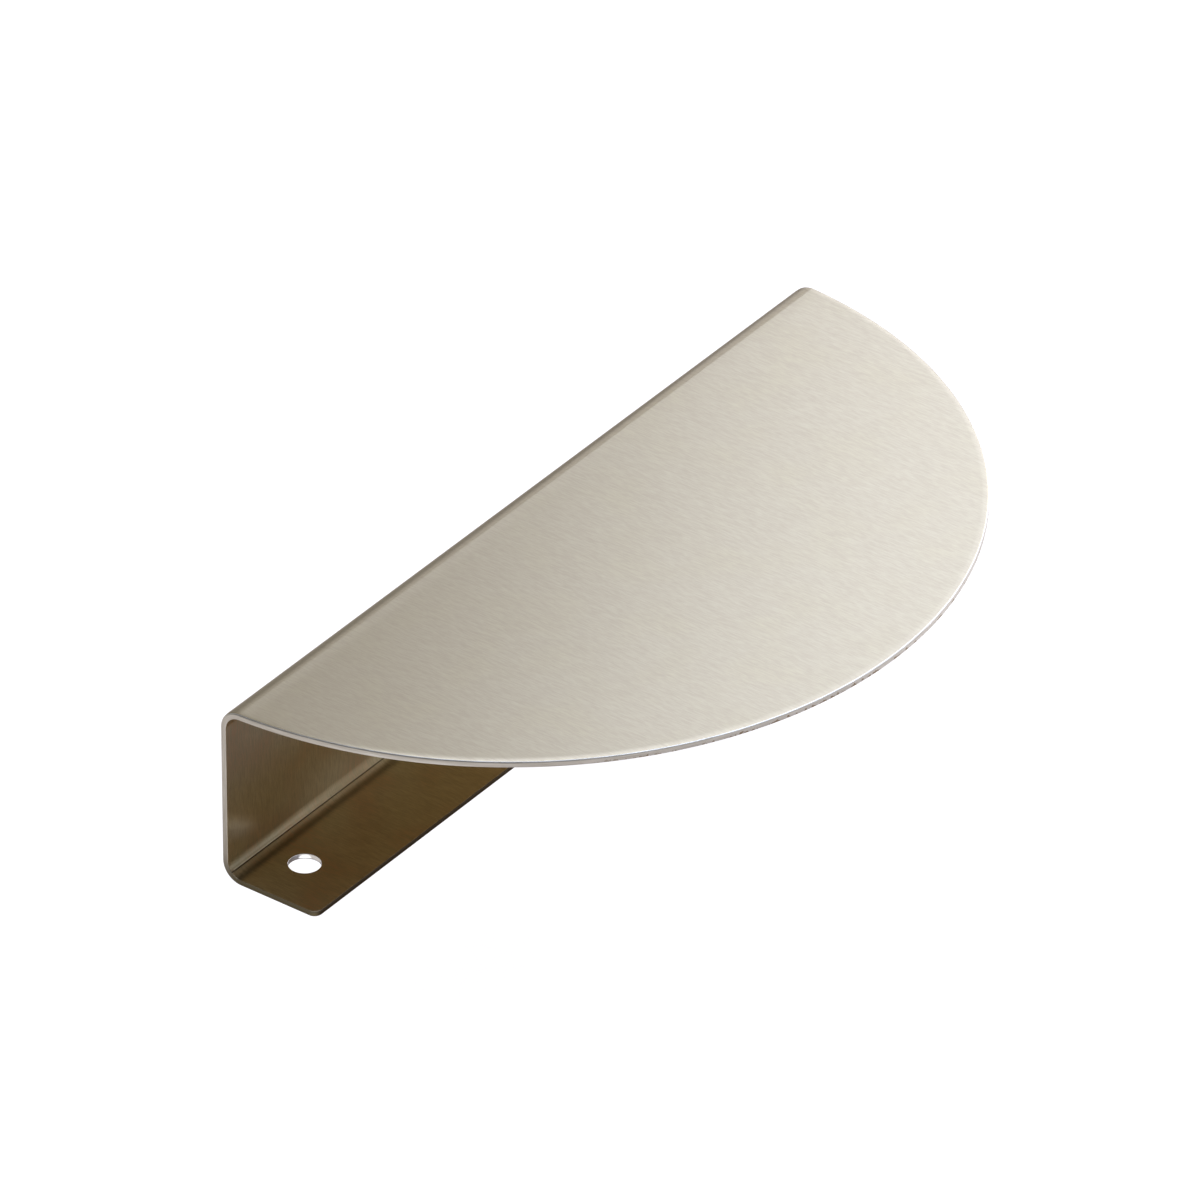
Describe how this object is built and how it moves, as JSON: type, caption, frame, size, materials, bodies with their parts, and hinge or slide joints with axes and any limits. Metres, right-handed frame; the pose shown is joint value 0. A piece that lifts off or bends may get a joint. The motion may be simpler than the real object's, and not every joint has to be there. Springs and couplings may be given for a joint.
{
  "type": "lip pull",
  "caption": "Half-moon lip pull folded from one brushed metal sheet, with a web and a screw flange behind the rounded plate.",
  "frame": {"origin": "on the flange's inner face, midway between the two screw holes", "axes": "+X along the folds from end to end, -Y from the web towards the crown of the half-moon plate, +Z from the flange towards the plate"},
  "size_m": [0.152, 0.076, 0.033],
  "materials": {
    "brushed_nickel": "brushed nickel, satin, grain across the folds"
  },
  "bodies": {
    "root": {"lip_pull": "brushed_nickel"}
  },
  "joints": []
}
